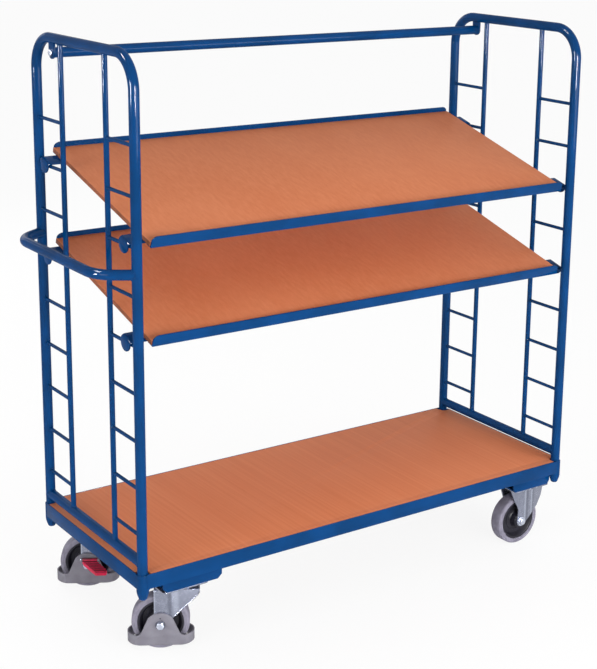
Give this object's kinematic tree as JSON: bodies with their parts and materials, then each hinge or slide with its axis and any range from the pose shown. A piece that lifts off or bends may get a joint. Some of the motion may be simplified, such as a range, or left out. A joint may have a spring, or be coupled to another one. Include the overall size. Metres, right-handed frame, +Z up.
{
  "type": "shelf trolley",
  "caption": "Two-sided shelf trolley with a flush deck, ladder end frames, lift-off sloping shelves, push handle, swivel casters with brakes and fixed casters.",
  "frame": {"origin": "middle of the overall outline, on the floor", "axes": "+X along the length away from the push handle, +Y towards the rear, the high side of the shelves, +Z up"},
  "size_m": [1.6046, 0.6188, 1.6555],
  "materials": {
    "blue_paint": "glossy powder coat",
    "beech_board": "satin laminate",
    "bright_zinc": "bright zinc plate",
    "grey_tread": "matt rubber",
    "dark_hub": "matt moulded",
    "grey_guard": "satin moulded",
    "red_pedal": "satin moulded",
    "hard_steel": "ground",
    "pale_bush": "moulded"
  },
  "bodies": {
    "chassis": {"deck_front_rail": "blue_paint", "deck_rear_rail": "blue_paint", "deck_left_rail": "blue_paint", "deck_right_rail": "blue_paint", "deck_cross_members": "blue_paint", "corner_sockets": "blue_paint", "caster_supports": "blue_paint", "left_end_tube": "blue_paint", "right_end_tube": "blue_paint", "end_crossbars": "blue_paint", "inner_uprights": "blue_paint", "left_rungs": "blue_paint", "right_rungs": "blue_paint", "rail_brackets": "blue_paint", "top_rail": "blue_paint", "push_handle": "blue_paint", "deck_board": "beech_board", "rail_bolts": "bright_zinc", "caster_bolts": "bright_zinc", "caster_nuts": "bright_zinc", "swivel_plates": "bright_zinc", "swivel_kingpins": "bright_zinc", "front_fixed_fork": "bright_zinc", "rear_fixed_fork": "bright_zinc", "fixed_axles": "bright_zinc", "swivel_balls": "hard_steel"},
    "front_swivel": {"front_swivel_fork": "bright_zinc", "front_swivel_axle": "bright_zinc", "front_pedal_pin": "bright_zinc", "front_swivel_guard": "grey_guard"},
    "front_pedal": {"front_brake_pedal": "red_pedal"},
    "rear_swivel": {"rear_swivel_fork": "bright_zinc", "rear_swivel_axle": "bright_zinc", "rear_pedal_pin": "bright_zinc", "rear_swivel_guard": "grey_guard"},
    "rear_pedal": {"rear_brake_pedal": "red_pedal"},
    "front_swivel_wheel": {"front_swivel_hub": "dark_hub", "front_swivel_tyre": "grey_tread", "front_swivel_bearing": "pale_bush"},
    "rear_swivel_wheel": {"rear_swivel_hub": "dark_hub", "rear_swivel_tyre": "grey_tread", "rear_swivel_bearing": "pale_bush"},
    "front_fixed_wheel": {"front_fixed_hub": "dark_hub", "front_fixed_tyre": "grey_tread", "front_fixed_bearing": "pale_bush"},
    "rear_fixed_wheel": {"rear_fixed_hub": "dark_hub", "rear_fixed_tyre": "grey_tread", "rear_fixed_bearing": "pale_bush"},
    "upper_shelf": {"upper_shelf_board": "beech_board", "upper_shelf_front_rim": "blue_paint", "upper_shelf_rear_rim": "blue_paint", "upper_shelf_cross_rails": "blue_paint", "upper_shelf_hooks": "blue_paint", "upper_shelf_screws": "bright_zinc"},
    "lower_shelf": {"lower_shelf_board": "beech_board", "lower_shelf_front_rim": "blue_paint", "lower_shelf_rear_rim": "blue_paint", "lower_shelf_cross_rails": "blue_paint", "lower_shelf_hooks": "blue_paint", "lower_shelf_screws": "bright_zinc"}
  },
  "joints": [
    {"name": "upper_shelf_lift", "type": "slide", "parent": "chassis", "child": "upper_shelf", "axis": [0, 0, 1], "range_m": [0, 0.09]},
    {"name": "lower_shelf_lift", "type": "slide", "parent": "chassis", "child": "lower_shelf", "axis": [0, 0, 1], "range_m": [0, 0.09]},
    {"name": "front_caster_swivel", "type": "hinge", "parent": "chassis", "child": "front_swivel", "pos_m": [-0.56425, -0.226, 0.185], "axis": [0, 0, 1], "continuous": true},
    {"name": "front_swivel_wheel_spin", "type": "hinge", "parent": "front_swivel", "child": "front_swivel_wheel", "pos_m": [-0.60282, -0.20282, 0.08], "axis": [0.515, 0.8572, 0], "continuous": true},
    {"name": "front_brake_press", "type": "hinge", "parent": "front_swivel", "child": "front_pedal", "pos_m": [-0.57913, -0.16339, 0.0975], "axis": [-0.8572, 0.515, 0], "range_deg": [0, 14]},
    {"name": "rear_caster_swivel", "type": "hinge", "parent": "chassis", "child": "rear_swivel", "pos_m": [-0.56425, 0.226, 0.185], "axis": [0, 0, 1], "continuous": true},
    {"name": "rear_swivel_wheel_spin", "type": "hinge", "parent": "rear_swivel", "child": "rear_swivel_wheel", "pos_m": [-0.60282, 0.24918, 0.08], "axis": [0.515, 0.8572, 0], "continuous": true},
    {"name": "rear_brake_press", "type": "hinge", "parent": "rear_swivel", "child": "rear_pedal", "pos_m": [-0.62651, 0.20975, 0.0975], "axis": [0.8572, -0.515, 0], "range_deg": [0, 14]},
    {"name": "front_fixed_wheel_spin", "type": "hinge", "parent": "chassis", "child": "front_fixed_wheel", "pos_m": [0.67175, -0.226, 0.08], "axis": [0, 1, 0], "continuous": true},
    {"name": "rear_fixed_wheel_spin", "type": "hinge", "parent": "chassis", "child": "rear_fixed_wheel", "pos_m": [0.67175, 0.226, 0.08], "axis": [0, 1, 0], "continuous": true}
  ]
}
